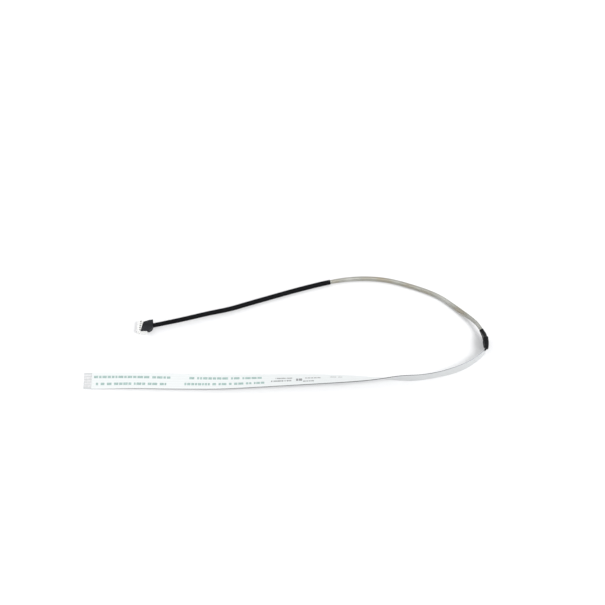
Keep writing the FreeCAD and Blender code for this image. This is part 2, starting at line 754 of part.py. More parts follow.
def make_joint_tape(doc, sizes):
    """Tape wound over the braid's end, the solder joints and the start of the flat cable."""
    wall = sizes.joint_wall
    outside = faceted_solid([tape_section(sizes, section, 0.0) for section in JOINT_TAPE])
    hollow = [tape_section(sizes, section, wall) for section in JOINT_TAPE[:-1]]
    hollow.append(tape_section(sizes, JOINT_TAPE[-1], wall, -wall))
    inside = faceted_solid(hollow)
    start, along = joint_frame(sizes)
    half = strip_width(sizes) / 2 + sizes.tape_play
    back = -sizes.base_thickness - sizes.tape_play
    front = sizes.conductor_thickness + sizes.cover_thickness + sizes.tape_play
    slot = Part.Face(section_wire(bar_profile(-half, half, back, front), start, UP, along.cross(UP)))
    slot = swept(strip_route(sizes), slot)
    return add_part(doc, "joint_tape", checked_solid(outside.cut([inside, slot])))


# Build and export

def main():
    doc = FreeCAD.newDocument("webcam_cable")
    sizes = make_sheet(doc)
    cable = [Vector(*point) for point in CABLE]
    joint_start, joint_along = joint_frame(sizes)
    positions = range(int(sizes.positions))

    make_housing(doc)
    for number in positions:
        make_contact(doc, number)
    make_connector_tape(doc, sizes, cable)
    make_sleeve_and_braid(doc, sizes, cable)
    for number in positions:
        make_wire(doc, sizes, number, cable, joint_start, joint_along)
        make_solder(doc, sizes, number, joint_start, joint_along)
    make_joint_tape(doc, sizes)
    make_strip(doc, sizes)
    make_stiffener(doc)

    doc.recompute()
    export(doc)


def export(doc):
    for item in doc.Objects:
        if {"Invalid", "Error"} & set(item.State):
            raise RuntimeError(f"{item.Label} failed: {item.State}")
    kinds = ("PartDesign::Body", "Part::Feature", "Part::Box")
    parts = [item for item in doc.Objects if item.TypeId in kinds]
    for part in parts:
        if part.Shape.isNull() or not part.Shape.isValid():
            raise RuntimeError(f"{part.Label} has no valid shape")
    os.makedirs("parts", exist_ok=True)
    for part in parts:
        part.Shape.exportStep(f"parts/{part.Label}.step")
        print(f"{part.Label}: {part.Shape.Volume:.3f} mm3")


main()
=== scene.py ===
import math
import random

import bpy
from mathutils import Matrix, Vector, noise


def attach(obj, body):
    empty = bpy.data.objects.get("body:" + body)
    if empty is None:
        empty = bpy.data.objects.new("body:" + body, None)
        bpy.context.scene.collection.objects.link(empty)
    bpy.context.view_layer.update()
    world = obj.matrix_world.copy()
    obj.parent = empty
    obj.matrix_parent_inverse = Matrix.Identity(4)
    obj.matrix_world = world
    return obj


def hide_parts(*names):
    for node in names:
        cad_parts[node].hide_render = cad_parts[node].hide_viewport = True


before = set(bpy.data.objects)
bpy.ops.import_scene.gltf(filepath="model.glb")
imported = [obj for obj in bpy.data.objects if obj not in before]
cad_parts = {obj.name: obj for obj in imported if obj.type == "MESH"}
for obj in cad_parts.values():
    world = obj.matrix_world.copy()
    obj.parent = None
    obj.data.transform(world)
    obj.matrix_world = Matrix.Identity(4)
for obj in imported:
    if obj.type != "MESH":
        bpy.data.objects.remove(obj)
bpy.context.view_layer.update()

MM = 0.001
UP = Vector((0, 0, 1))
CURVE_RESOLUTION = 24
# Wires, contacts and flat conductors, and which of them is the middle one
POSITIONS = 5
MIDDLE = 2

# The round cable's route, from the connector to the taped joint, in metres
CABLE = [
    (-0.0598, 0.0134, 0.00215),
    (-0.0548, 0.01425, 0.0027),
    (-0.0460, 0.01613, 0.00295),
    (-0.0345, 0.01928, 0.00241),
    (-0.0256, 0.0213, 0.00195),
    (-0.0168, 0.02438, 0.00145),
    (0.0110, 0.0330, 0.0011),
    (0.0275, 0.0366, 0.0011),
    (0.0435, 0.0364, 0.0011),
    (0.0575, 0.0323, 0.0011),
    (0.0686, 0.0278, 0.00115),
    (0.0764, 0.0214, 0.0015),
    (0.0822, 0.0161, 0.0031),
    (0.0849, 0.01294, 0.0041),
    (0.0863, 0.01005, 0.0042),
]
# The sleeve follows this many of the route's points and half a run more
SLEEVE_POINT_COUNT = 7
SLEEVE_RADIUS = 1.04 * MM
# How far the sleeve swells or narrows at each of those points and at its end
SLEEVE_SWELL = [0.93, 0.94, 0.99, 0.99, 1.03, 1.01, 1.02, 1.03]

# The braid: its radius and half a bundle's width by the distance from the sleeve, both in
# millimetres, and the bundles that it is woven from
BRAID_RADII = [(0.0, 0.8), (2.0, 0.8), (7.0, 0.92), (64.0, 0.92), (71.0, 0.8), (76.0, 0.74)]
BRAID_RADIUS = 0.92 * MM
BRAID_PITCH = 8.2 * MM
CARRIERS = 16
BRAID_STEP = 0.22 * MM
BUNDLE_HALF = [(0.0, 0.27), (55.0, 0.27), (68.0, 0.225), (76.0, 0.205)]
STRAND_RISE = 0.04 * MM
WEAVE_RISE = 0.05 * MM
BRAID_SMOOTHING = 1.5
BRAID_SEED = 7
# How unevenly the bundles start round the cable and how far they wander, in radians
BRAID_UNEVEN = 0.05
BRAID_WANDER = 0.06
# Across a bundle in thirds of its half width, and how far its wires stand up
BUNDLE_PROFILE = [
    (-3, 0.0),
    (-2, 1.0),
    (-1, 0.2),
    (0, 1.0),
    (1, 0.2),
    (2, 1.0),
    (3, 0.0),
    (0, -1.2),
]
# A dark tube under the braid's bundles, painted shade for the gaps of the weave: its depth, sides
# and stride
GAP_SHADE_DEPTH = 0.16 * MM
GAP_SHADE_SIDES = 20
GAP_SHADE_STRIDE = 4

# The wires inside, and where they run in the connector, from the middle of its mating face
WIRE_SIDES = 8
WIRE_STEP = 0.5 * MM
WIRE_RADIUS = 0.25 * MM
WIRE_CORE_RADIUS = 0.12 * MM
RING_RADIUS = 0.44 * MM
WIRE_ANGLES = [162.0, 234.0, 90.0, 306.0, 18.0]
WIRE_CONDUCTORS = [2, 0, 4, 1, 3]
CONNECTOR_PLACE = Vector((-66.65, 12.9, 0.0)) * MM
CONNECTOR_TURN = math.radians(-4.0)
CONTACT_PITCH = 1.0 * MM
WIRE_HEIGHT = 1.37 * MM
CORE_START = 2.6 * MM
JACKET_START = 3.4 * MM
ROW_EXIT = 4.85 * MM
GATHER_LEAD = 0.4 * MM
GATHER_RUN = 2.2 * MM
FAN_RUN = 3.4 * MM
FAN_LEAD = 1.35 * MM
CORE_OVERLAP = 1.5 * MM
JACKET_GAP = 0.15 * MM

# The flat cable's centre line seen from above, from the joint to the contact end, in metres
STRIP = [
    (0.0879, 0.0054),
    (0.08825, 0.0022),
    (0.08725, 0.0001),
    (0.0840, -0.0029),
    (0.0804, -0.0054),
    (0.0750, -0.0080),
    (0.0673, -0.0103),
    (0.0578, -0.0120),
    (0.0505, -0.0120),
    (0.0400, -0.0122),
    (0.0200, -0.0120),
    (0.0000, -0.0123),
    (-0.0250, -0.0129),
    (-0.0450, -0.0126),
    (-0.0650, -0.0121),
    (-0.0800, -0.0120),
    (-0.0894, -0.0120),
]
# The angle between strip and table: by the distance from the joint in the bend, then by x
LEAN = [
    (0.0, 92.0),
    (0.006, 90.5),
    (0.010, 90.5),
    (0.014, 92.0),
    (0.019, 92.5),
    (0.024, 91.5),
    (0.029, 89.0),
    (0.034, 88.7),
    (0.045, 90.0),
]
ROLL = [
    (0.0505, 90.0),
    (0.0455, 78.0),
    (0.0400, 66.5),
    (0.0310, 53.0),
    (0.0190, 42.5),
    (0.0030, 32.5),
    (-0.0140, 24.0),
    (-0.0310, 14.0),
    (-0.0520, 9.0),
    (-0.0700, 6.5),
    (-0.0800, 0.0),
]
LEAN_SMOOTHING = 2.5 * MM
ROLL_SMOOTHING = 5 * MM
STRIP_HALF = 3.75 * MM
EDGE_UPRIGHT = 0.45 * MM
EDGE_FLAT = 0.15 * MM
BASE_FILM = 0.1 * MM
CONDUCTOR = 0.1 * MM
COVER_TOP = 0.2 * MM
CONDUCTOR_PITCH = 1.25 * MM
CONDUCTOR_HALF = 0.4 * MM
CONTACT_LENGTH = 3.4 * MM
TAIL_LENGTH = 1.8 * MM
STRIP_STEP = 0.5 * MM
SOLDER_LENGTH = 1.3 * MM
SOLDER_HEIGHT = 0.36 * MM
SOLDER_RINGS = 8
SOLDER_SIDES = 20
# How nearly a bead's rings close at its top, and how full its sides are
SOLDER_CLOSING = 0.97
SOLDER_FULLNESS = 0.7

# The tape round the joint: centre seen from above, heading, half width, half height and height
# above the table, in millimetres, with a second layer between its two steps
JOINT_TAPE = [
    (86.05, 10.6, -63.0, 0.96, 1.0, 4.2),
    (86.5, 9.6, -65.0, 0.94, 1.25, 4.2),
    (87.07, 8.3, -71.0, 0.88, 2.1, 4.2),
    (87.62, 6.15, -79.0, 0.84, 3.5, 4.3),
    (87.64, 5.95, -79.0, 1.05, 3.75, 4.35),
    (87.82, 4.5, -83.8, 1.06, 3.9, 4.35),
    (87.92, 3.0, -92.0, 0.96, 3.85, 4.4),
    (87.86, 2.2, -98.0, 0.86, 2.9, 5.3),
    (87.7, 1.2, -109.0, 0.76, 1.7, 6.5),
    (87.5, 0.7, -115.0, 0.66, 1.0, 7.2),
    (87.42, 0.58, -117.0, 0.42, 0.9, 7.35),
    (86.6, -0.5, -131.0, 0.27, 0.65, 7.62),
]
SECOND_LAYER = (3.5, 9.5)
TAPE_LEAN = math.radians(4.0)
# How deep its creases are, and how close along it and round it
TAPE_CREASE = 0.05
CREASES_ALONG = 1.4
CREASES_ROUND = 2.2
JOINT_TAPE_STEPS = 12
JOINT_TAPE_SIDES = 64
JOINT_TAPE_GIRTH = 12

# The tape on the connector, in its own millimetres: the front edge, then the ragged rear edge
TAPE_FRONT = [(1.82, -2.74), (2.64, 1.84)]
TAPE_REAR = [(5.35, -2.45), (5.75, -1.6), (6.5, -1.0), (6.85, -0.35), (6.75, 1.7), (6.55, 3.6)]
HOUSING_DEPTH = 4.7
HOUSING_HEIGHT = 3.8
TAPE_WALL = 0.25
TAPE_FLOOR = 0.68
TAPE_ROWS = 44
TAPE_COLUMNS = 28
# Where across the tape it stands highest, and how far it falls behind the housing: in the
# middle, then at its nearer and at its farther side
TAPE_CREST = 0.56
TAPE_FALL = (0.4, 0.3, 0.9)
TAPE_FALL_RUN = 2.2
TAPE_FALL_POWER = 2.2
# How its two faces close at its sides, and how far it stands off the wires in the middle
TAPE_CLOSING_POWER = 7
TAPE_EDGE_WALL = 1.6 * TAPE_WALL
TAPE_LIFT = 0.12
# Its bowed side, its ragged rear edge, the ripple of its top and that ripple's start and run,
# and how far its top is rounded off at its sides
TAPE_BOW = 0.3
TAPE_RAGGED = 0.08
TAPE_RIPPLE = 0.05
RIPPLE_START = 3.6
RIPPLE_RUN = 1.5
TAPE_ROUNDING = 0.06

# Marks on the printed face: first x, last x, place across, shortest bar and height, in mm
PRINT_ROWS = [
    (-84.0, -53.0, 1.5, 0.7, 1.15),
    (-45.0, -10.0, 1.35, 0.7, 1.2),
    (-85.0, -51.0, -1.75, 0.8, 1.1),
    (-43.0, -11.0, -1.65, 0.8, 1.15),
    (-7.0, 1.5, 0.7, 0.3, 0.8),
    (-5.0, 2.0, -1.0, 0.25, 0.7),
    (4.0, 5.2, 0.2, 0.5, 1.6),
    (8.0, 14.0, -0.9, 0.5, 0.6),
    (7.0, 12.0, 1.4, 0.4, 0.7),
    (19.0, 24.5, -1.5, 1.6, 0.5),
]
# Rows that start past this x, nearer the joint, are printed in grey
GREY_PRINT_START = -8.0
PRINT_SEED = 21
LONGEST_BAR = 3.2
BAR_GAPS = [0.5, 0.5, 0.5, 1.6]
INK_THICKNESS = 0.01 * MM

TARGET = Vector((6.8, 25.3, 0.0)) * MM
CAMERA_DISTANCE = 642.8 * MM
CAMERA_ELEVATION = math.radians(68.0)
CAMERA_LENS = 85
SENSOR_WIDTH = 36
FLOOR_HALF = 3.0
# Each light's strength, its width in degrees and the way that it shines
KEY_LIGHT = (1.42, 22, Vector((-0.56, 0.2, -1.0)))
FILL_LIGHT = (0.3, 60, Vector((0.5, -0.8, -1.0)))
WORLD_COLOUR = (0.975, 0.98, 1.0, 1)
WORLD_STRENGTH = 0.84


# Lines

def fill_spline(data, points):
    spline = data.splines.new("NURBS")
    spline.points.add(len(points) - 1)
    for point, co in zip(spline.points, points):
        point.co = (*co, 1.0)
    spline.order_u = 3
    spline.use_endpoint_u = True


def route_line(points):
    """The points of a smooth line that has the route's points as its control points."""
    data = bpy.data.curves.new("route", "CURVE")
    data.dimensions = "3D"
    data.resolution_u = CURVE_RESOLUTION
    fill_spline(data, points)
    obj = bpy.data.objects.new("route", data)
    mesh = bpy.data.meshes.new_from_object(obj)
    line = [vertex.co.copy() for vertex in mesh.vertices]
    bpy.data.objects.remove(obj)
    bpy.data.meshes.remove(mesh)
    bpy.data.curves.remove(data)
    return line


def spread(line, step):
    """Points at equal distances along a line, and its length."""
    lengths = [0.0]
    for a, b in zip(line, line[1:]):
        lengths.append(lengths[-1] + (b - a).length)
    count = max(2, round(lengths[-1] / step))
    out = []
    index = 0
    for number in range(count + 1):
        want = lengths[-1] * number / count
        while index < len(line) - 2 and lengths[index + 1] < want:
            index += 1
        gap = lengths[index + 1] - lengths[index]
        share = (want - lengths[index]) / gap if gap else 0.0
        out.append(line[index].lerp(line[index + 1], share))
    return out, lengths[-1]


def tangents(line):
    out = []
    for index in range(len(line)):
        before = line[max(index - 1, 0)]
        after = line[min(index + 1, len(line) - 1)]
        out.append((after - before).normalized())
    return out


def cable_frames(line):
    """A side and an up vector at each point that turn with the line and never twist about it."""
    along = tangents(line)
    side = UP.cross(along[0]).normalized()
    frames = []
    for direction in along:
        side = (side - direction * side.dot(direction)).normalized()
        frames.append((side, direction.cross(side)))
    return frames


def table_value(table, key):
    """Straight interpolation in a table whose keys rise or fall."""
    rows = sorted(table)
    if key <= rows[0][0]:
        return rows[0][1]
    for (low, a), (high, b) in zip(rows, rows[1:]):
        if key <= high:
            return a + (b - a) * (key - low) / (high - low)
    return rows[-1][1]


def smooth_value(table, key, reach):
    """The table's value averaged over a short stretch, so that its corners are rounded."""
    samples = 9
    offsets = [reach * (2 * k / (samples - 1) - 1) for k in range(samples)]
    return sum(table_value(table, key + offset) for offset in offsets) / samples


def ease(value):
    """0 to 1 with a soft start and end."""
    share = max(0.0, min(1.0, value))
    return share * share * (3 - 2 * share)


def blend_rows(rows, place):
    """The values between two neighbouring rows of a list."""
    index = min(int(place), len(rows) - 2)
    share = place - index
    return [a + (b - a) * share for a, b in zip(rows[index], rows[index + 1])]


def wander(*place):
    """Smooth noise from -1 to 1."""
    return noise.noise(Vector(place))


# Meshes

def make_object(name, vertices, faces, smooth=True, uvs=None):
    mesh = bpy.data.meshes.new(name)
    mesh.from_pydata(vertices, [], faces)
    mesh.validate()
    if uvs:
        layer = mesh.uv_layers.new(name="UVMap")
        for loop in mesh.loops:
            layer.data[loop.index].uv = uvs[loop.vertex_index]
    mesh.polygons.foreach_set("use_smooth", [smooth] * len(mesh.polygons))
    obj = bpy.data.objects.new(name, mesh)
    bpy.context.scene.collection.objects.link(obj)
    return obj


def ring_faces(rows, width, first=0):
    """Quads between neighbouring closed rings, with a face over each end."""
    faces = []
    for row in range(rows - 1):
        for k in range(width):
            a = first + row * width + k
            b = first + row * width + (k + 1) % width
            faces.append((a, b, b + width, a + width))
    last = first + (rows - 1) * width
    faces.append(tuple(range(first + width - 1, first - 1, -1)))
    faces.append(tuple(range(last, last + width)))
    return faces


def circle(centre, side, up, radius, sides):
    points = []
    for k in range(sides):
        turn = 2 * math.pi * k / sides
        points.append(centre + side * (radius * math.cos(turn)) + up * (radius * math.sin(turn)))
    return points


def assign(obj, *materials):
    obj.data.materials.clear()
    for material in materials:
        obj.data.materials.append(material)


def dress(obj, slot, *nodes):
    """Puts a piece on the body in place of its solids."""
    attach(obj, "root")
    if nodes:
        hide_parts(*nodes)
    return obj


# Materials

class Shader:
    """A material under construction."""

    def __init__(self, name, colour, roughness, metallic=0.0, specular=0.5):
        self.material = bpy.data.materials.new(name)
        self.material.use_nodes = True
        self.nodes = self.material.node_tree.nodes
        self.links = self.material.node_tree.links
        self.principled = self.nodes["Principled BSDF"]
        self.put("Base Color", (*colour, 1.0))
        self.put("Roughness", roughness)
        self.put("Metallic", metallic)
        self.put("Specular IOR Level", specular)
        self.colour = colour

    def put(self, socket, value):
        self.principled.inputs[socket].default_value = value

    def add(self, kind, **values):
        node = self.nodes.new(kind)
        for key, value in values.items():
            if key in node.inputs:
                node.inputs[key].default_value = value
            else:
                setattr(node, key, value)
        return node

    def link(self, source, output, target, socket):
        self.links.new(source.outputs[output], target.inputs[socket])

    def coordinates(self, which="Object", stretch=(1, 1, 1)):
        source = self.add("ShaderNodeTexCoord")
        mapping = self.add("ShaderNodeMapping", Scale=stretch)
        self.link(source, which, mapping, "Vector")
        return mapping

    def noise(self, scale, detail=3.0, which="Object", stretch=(1, 1, 1)):
        texture = self.add("ShaderNodeTexNoise", Scale=scale, Detail=detail)
        self.link(self.coordinates(which, stretch), "Vector", texture, "Vector")
        return texture

    def wave(self, scale, direction, which="Object", distortion=0.5):
        texture = self.add("ShaderNodeTexWave", Scale=scale, Distortion=distortion, Detail=1.0)
        texture.bands_direction = direction
        self.link(self.coordinates(which), "Vector", texture, "Vector")
        return texture

    def product(self, first, second):
        node = self.add("ShaderNodeMath", operation="MULTIPLY")
        self.links.new(first.outputs["Fac"], node.inputs[0])
        self.links.new(second.outputs["Fac"], node.inputs[1])
        return node

    def ramp(self, source, output, stops):
        node = self.add("ShaderNodeValToRGB")
        elements = node.color_ramp.elements
        while len(elements) < len(stops):
            elements.new(0.5)
        for element, (place, colour) in zip(elements, stops):
            element.position = place
            element.color = (*colour, 1.0)
        self.link(source, output, node, "Fac")
        return node

    def multiply(self, first, second):
        """Base colour made of one ramp's colour times another's."""
        node = self.add("ShaderNodeMix", data_type="RGBA", blend_type="MULTIPLY")
        node.inputs["Factor"].default_value = 1.0
        colours = [socket for socket in node.inputs if socket.type == "RGBA"]
        self.links.new(first.outputs["Color"], colours[0])
        self.links.new(second.outputs["Color"], colours[1])
        result = [socket for socket in node.outputs if socket.type == "RGBA"][0]
        self.links.new(result, self.principled.inputs["Base Color"])

    def paint(self, ramp):
        self.link(ramp, "Color", self.principled, "Base Color")

    def shades(self, *factors):
        return [tuple(min(1.0, c * factor) for c in self.colour) for factor in factors]

    def vary(self, scale, low, high, detail=3.0, which="Object", stretch=(1, 1, 1)):
        """Base colour that drifts between two shades of itself."""
        dark, light = self.shades(low, high)
        texture = self.noise(scale, detail, which, stretch)
        self.paint(self.ramp(texture, "Fac", [(0.3, dark), (0.7, light)]))

    def rough(self, scale, low, high, which="Object"):
        texture = self.noise(scale, 4.0, which)
        spread_node = self.add("ShaderNodeMapRange")
        spread_node.inputs["To Min"].default_value = low
        spread_node.inputs["To Max"].default_value = high
        self.link(texture, "Fac", spread_node, "Value")
        self.link(spread_node, "Result", self.principled, "Roughness")

    def bump(self, source, output, strength, distance):
        node = self.add("ShaderNodeBump", Strength=strength, Distance=distance)
        self.link(source, output, node, "Height")
        earlier = self.principled.inputs["Normal"].links
        if earlier:
            self.links.new(earlier[0].from_socket, node.inputs["Normal"])
        self.link(node, "Normal", self.principled, "Normal")


def make_nylon():
    """Moulded nylon: milky, a little light passes through its thin walls."""
    shader = Shader("white_nylon", (0.84, 0.84, 0.82), 0.4, specular=0.4)
    shader.vary(260, 0.97, 1.03)
    shader.rough(900, 0.34, 0.5)
    shader.bump(shader.noise(2600, 2.0), "Fac", 0.12, 0.00002)
    shader.put("Subsurface Weight", 0.6)
    shader.put("Subsurface Radius", (1.0, 1.0, 1.0))
    shader.put("Subsurface Scale", 0.0006)
    return shader.material


def make_tin(name, colour, roughness, metallic=1.0):
    shader = Shader(name, colour, roughness, metallic)
    shader.vary(900, 0.85, 1.08)
    shader.rough(1500, roughness * 0.8, roughness * 1.25)
    return shader.material


def make_cloth(name, colour, sheen):
    """Woven tape: crossing threads that lie along and across it, with a fuzzy sheen."""
    shader = Shader(name, colour, 0.8, specular=0.12)
    texture = shader.noise(300, 5.0, "UV", (0.35, 1.0, 1.0))
    worn = shader.ramp(texture, "Fac", list(zip((0.3, 0.7), shader.shades(0.6, 1.6))))
    threads = shader.product(shader.wave(1050, "X", "UV"), shader.wave(1050, "Y", "UV"))
    weave = shader.ramp(threads, "Value", [(0.05, (0.55, 0.55, 0.55)), (0.6, (1.0, 1.0, 1.0))])
    shader.multiply(worn, weave)
    shader.bump(threads, "Value", 0.8, 0.00008)
    shader.bump(shader.noise(500, 5.0), "Fac", 0.3, 0.0001)
    shader.put("Sheen Weight", sheen)
    shader.put("Sheen Roughness", 0.5)
    return shader.material


def make_gloss_tape():
    """Smooth black tape with fine stretch lines."""
    shader = Shader("black_tape", (0.003, 0.003, 0.0035), 0.38, specular=0.16)
    shader.vary(600, 0.6, 1.5)
    shader.bump(shader.noise(800, 3.0, "UV", (1.0, 0.25, 1.0)), "Fac", 0.5, 0.00012)
    shader.bump(shader.noise(260, 2.0), "Fac", 0.4, 0.0003)
    return shader.material


def make_sleeve_material():
    """Matt black sleeving with a faint grain."""
    shader = Shader("black_sleeving", (0.003, 0.003, 0.004), 0.5, specular=0.08)
    shader.vary(350, 0.6, 1.6)
    shader.rough(600, 0.42, 0.62)
    shader.bump(shader.noise(420, 3.0), "Fac", 0.3, 0.0001)
    return shader.material


def make_strand_material():
    """Tinned copper wire, darker and browner in patches."""
    shader = Shader("tinned_copper_strands", (0.45, 0.445, 0.395), 0.4, 0.8)
    texture = shader.noise(120, 4.0)
    warm = (0.42, 0.37, 0.28)
    light = (0.56, 0.56, 0.52)
    shader.paint(shader.ramp(texture, "Fac", [(0.32, warm), (0.48, shader.colour), (0.68, light)]))
    shader.rough(900, 0.3, 0.55)
    return shader.material


def make_braid_gap_shade_material():
    # Near black: painted shade for the gaps of the braid, on a tube just under its bundles.
    shader = Shader("braid_gap_shade", (0.06, 0.057, 0.05), 0.8, specular=0.2)
    shader.vary(500, 0.7, 1.3)
    return shader.material


def make_insulation():
    shader = Shader("wire_insulation", (0.42, 0.42, 0.43), 0.4)
    shader.vary(700, 0.9, 1.1)
    return shader.material


def make_film(name, colour, ribs):
    """Polyester film: smooth, with the flat conductors faintly showing through it."""
    shader = Shader(name, colour, 0.32, specular=0.4)
    split = shader.add("ShaderNodeSeparateXYZ")
    shader.link(shader.coordinates("UV"), "Vector", split, "Vector")
    turn = shader.add("ShaderNodeMath", operation="MULTIPLY")
    turn.inputs[1].default_value = 2 * math.pi / CONDUCTOR_PITCH
    shader.links.new(split.outputs["X"], turn.inputs[0])
    wave = shader.add("ShaderNodeMath", operation="COSINE")
    shader.links.new(turn.outputs["Value"], wave.inputs[0])
    full, dull = shader.shades(1.0, ribs)
    shader.paint(shader.ramp(wave, "Value", [(0.1, full), (0.5, dull)]))
    shader.bump(wave, "Value", 0.25, 0.00004)
    shader.bump(shader.noise(90, 3.0), "Fac", 0.12, 0.0002)
    return shader.material


def make_cut_film():
    """The cut sides of the films: dark grey with glue, painted paler in the bend and painted darker
    along the flat run.
    """
    shader = Shader("cut_film", (0.24, 0.25, 0.26), 0.6, specular=0.2)
    split = shader.add("ShaderNodeSeparateXYZ")
    shader.link(shader.coordinates("UV", (1, 20, 1)), "Vector", split, "Vector")
    # Painted light and shade: the cut sides are paler near the joint, where they face the light in
    # the bend, and darker farther along, where the near edge stands in shade.
    pale, middle, dark = shader.shades(2.2, 1.1, 0.4)
    painted_light_and_shade = shader.ramp(split, "Y", [(0.25, pale), (0.6, middle), (1.0, dark)])
    grain = shader.ramp(shader.noise(400), "Fac", [(0.3, (0.75,) * 3), (0.7, (1.0,) * 3)])
    shader.multiply(painted_light_and_shade, grain)
    return shader.material


def make_stiffener_film():
    shader = Shader("stiffening_film", (0.62, 0.68, 0.71), 0.35)
    shader.vary(300, 0.95, 1.04)
    return shader.material


def make_ink(name, colour):
    shader = Shader(name, colour, 0.5, specular=0.3)
    shader.vary(1400, 0.85, 1.2)
    return shader.material


def make_floor_material():
    return Shader("pale_floor", (0.9, 0.9, 0.9), 0.9, specular=0.0).material


# Round cable

def connector_point(x, y, z):
    """A place in the connector's own frame, from the middle of its mating face."""
    cos, sin = math.cos(CONNECTOR_TURN), math.sin(CONNECTOR_TURN)
    return CONNECTOR_PLACE + Vector((x * cos - y * sin, x * sin + y * cos, z))


def sleeve_middle():
    last = Vector(CABLE[SLEEVE_POINT_COUNT - 1])
    return (last + Vector(CABLE[SLEEVE_POINT_COUNT])) / 2


def make_sleeve(material):
    data = bpy.data.curves.new("sleeve", "CURVE")
    data.dimensions = "3D"
    data.resolution_u = CURVE_RESOLUTION
    points = [Vector(p) for p in CABLE[:SLEEVE_POINT_COUNT]] + [sleeve_middle()]
    fill_spline(data, points)
    for point, swell in zip(data.splines[0].points, SLEEVE_SWELL):
        point.radius = swell
    data.bevel_depth = SLEEVE_RADIUS
    data.bevel_resolution = 8
    data.use_fill_caps = True
    obj = bpy.data.objects.new("sleeve", data)
    bpy.context.scene.collection.objects.link(obj)
    obj.data.materials.append(material)
    _, length = spread(route_line(points), 1 * MM)
    dress(obj, "sleeve_black", "black_sleeve")


def make_braid(strand_material, gap_shade_material):
    """Sixteen flat bundles of wire that cross over and under each other round the cable."""
    points = [sleeve_middle()] + [Vector(p) for p in CABLE[SLEEVE_POINT_COUNT:]]
    line, length = spread(route_line(points), BRAID_STEP)
    frames = cable_frames(line)
    distances = [length * index / (len(line) - 1) for index in range(len(line))]
    radii = [smooth_value(BRAID_RADII, place / MM, BRAID_SMOOTHING) * MM for place in distances]
    halves = [table_value(BUNDLE_HALF, place / MM) * MM for place in distances]
    stations = list(zip(line, frames, distances, radii, halves))
    groups = CARRIERS // 2
    vertices, faces = [], []
    rng = random.Random(BRAID_SEED)
    for carrier in range(CARRIERS):
        direction = 1 if carrier % 2 else -1
        start = 2 * math.pi * (carrier // 2) / groups + rng.uniform(-BRAID_UNEVEN, BRAID_UNEVEN)
        first = len(vertices)
        for centre, (side, up), distance, radius, half in stations:
            progress = 2 * math.pi * distance / BRAID_PITCH
            over = direction * math.cos(groups * progress)
            middle = start + direction * progress
            middle += BRAID_WANDER * wander(distance * 300, carrier * 3.1, 0)
            for across, rise in BUNDLE_PROFILE:
                angle = middle + across / 3 * half / BRAID_RADIUS
                reach = radius + WEAVE_RISE * over + rise * STRAND_RISE
                out = side * (reach * math.cos(angle))
                vertices.append(centre + out + up * (reach * math.sin(angle)))
        faces += ring_faces(len(line), len(BUNDLE_PROFILE), first)
    strand_count = len(faces)
    # A dark tube just under the bundles: painted shade that shows through the gaps of the weave.
    first = len(vertices)
    coarse = range(0, len(line), GAP_SHADE_STRIDE)
    for index in coarse:
        vertices += circle(line[index], *frames[index], radii[index] - GAP_SHADE_DEPTH, GAP_SHADE_SIDES)
    faces += ring_faces(len(coarse), GAP_SHADE_SIDES, first)
    obj = make_object("braid", vertices, faces)
    assign(obj, strand_material, gap_shade_material)
    for polygon in obj.data.polygons[strand_count:]:
        polygon.material_index = 1
    dress(obj, "braid_tinned", "shield_braid")


def make_wires(joint, insulation, tin):
    """Five wires: in a row in the connector, in a ring in the cable, fanned out in the joint."""
    origin, across, through, _ = joint
    along = across.cross(through)
    landing = origin + through * (CONDUCTOR + WIRE_CORE_RADIUS)
    row = [connector_point(x, 0.0, WIRE_HEIGHT) for x in (CORE_START, ROW_EXIT)]
    fan = [landing - along * FAN_LEAD, landing + along * CORE_OVERLAP]
    points = row + [Vector(p) for p in CABLE] + fan
    line, length = spread(route_line(points), WIRE_STEP)
    frames = cable_frames(line)
    row_side = connector_point(0.0, 1.0, 0.0) - connector_point(0.0, 0.0, 0.0)
    bare_front = JACKET_START - CORE_START
    bare_end = CORE_OVERLAP + JACKET_GAP
    gather_start = ROW_EXIT - CORE_START - GATHER_LEAD
    fan_end = FAN_LEAD + CORE_OVERLAP
    for number in range(POSITIONS):
        turn = math.radians(WIRE_ANGLES[number])
        in_row = row_side * (CONTACT_PITCH * (number - MIDDLE))
        in_fan = across * (CONDUCTOR_PITCH * (WIRE_CONDUCTORS[number] - MIDDLE))
        path, vertices = [], []
        for index, (centre, (side, up)) in enumerate(zip(line, frames)):
            distance = length * index / (len(line) - 1)
            left = length - distance
            ring = (side * math.cos(turn) + up * math.sin(turn)) * RING_RADIUS
            offset = in_row.lerp(ring, ease((distance - gather_start) / GATHER_RUN))
            offset = offset.lerp(in_fan, ease((fan_end + FAN_RUN - left) / FAN_RUN))
            bare = distance < bare_front or left < bare_end
            radius = WIRE_CORE_RADIUS if bare else WIRE_RADIUS
            path.append(centre + offset)
            vertices += circle(path[-1], side, up, radius, WIRE_SIDES)
        faces = ring_faces(len(line), WIRE_SIDES)
        obj = make_object(f"inner_wire_{number + 1}", vertices, faces)
        assign(obj, insulation, tin)
        for polygon in obj.data.polygons[:-2]:
            place = length * (polygon.index // WIRE_SIDES) / (len(line) - 1)
            if place < bare_front or length - place < bare_end:
                polygon.material_index = 1
        dress(obj, "wire_insulation", f"wire_{number + 1}")


# Connector tape

